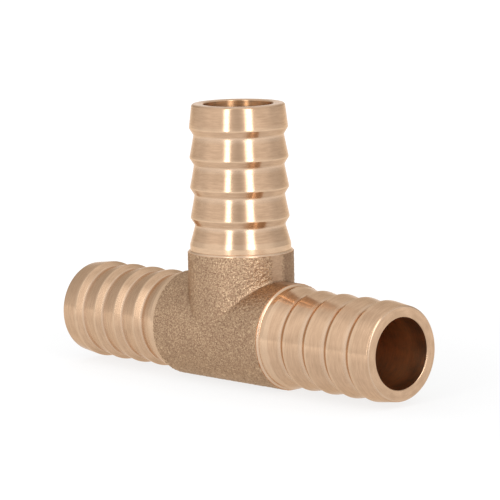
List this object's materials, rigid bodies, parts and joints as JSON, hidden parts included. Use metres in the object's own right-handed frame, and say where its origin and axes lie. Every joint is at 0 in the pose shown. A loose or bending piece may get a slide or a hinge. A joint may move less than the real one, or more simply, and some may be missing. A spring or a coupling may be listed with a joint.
{
  "type": "barbed tee connector",
  "caption": "Brass tee for irrigation hose: a cast body with equal barbed hose tails on its run and its branch, and an open waterway to each, joined by push-on hoses.",
  "frame": {"origin": "where the axis of the run and the axis of the branch cross, at the middle of the run's waterway", "axes": "+X along the run, towards the right-hand tail; +Z along the branch, towards its open end; +Y across the fitting"},
  "size_m": [0.094, 0.0222, 0.059],
  "materials": {
    "cast_brass": "sand-cast skin, fine grain, matt",
    "turned_brass": "turned, fine tool marks, bright"
  },
  "bodies": {
    "root": {"cast_tee_body": "cast_brass", "right_run_tail": "turned_brass", "left_run_tail": "turned_brass", "branch_tail": "turned_brass"}
  },
  "joints": []
}
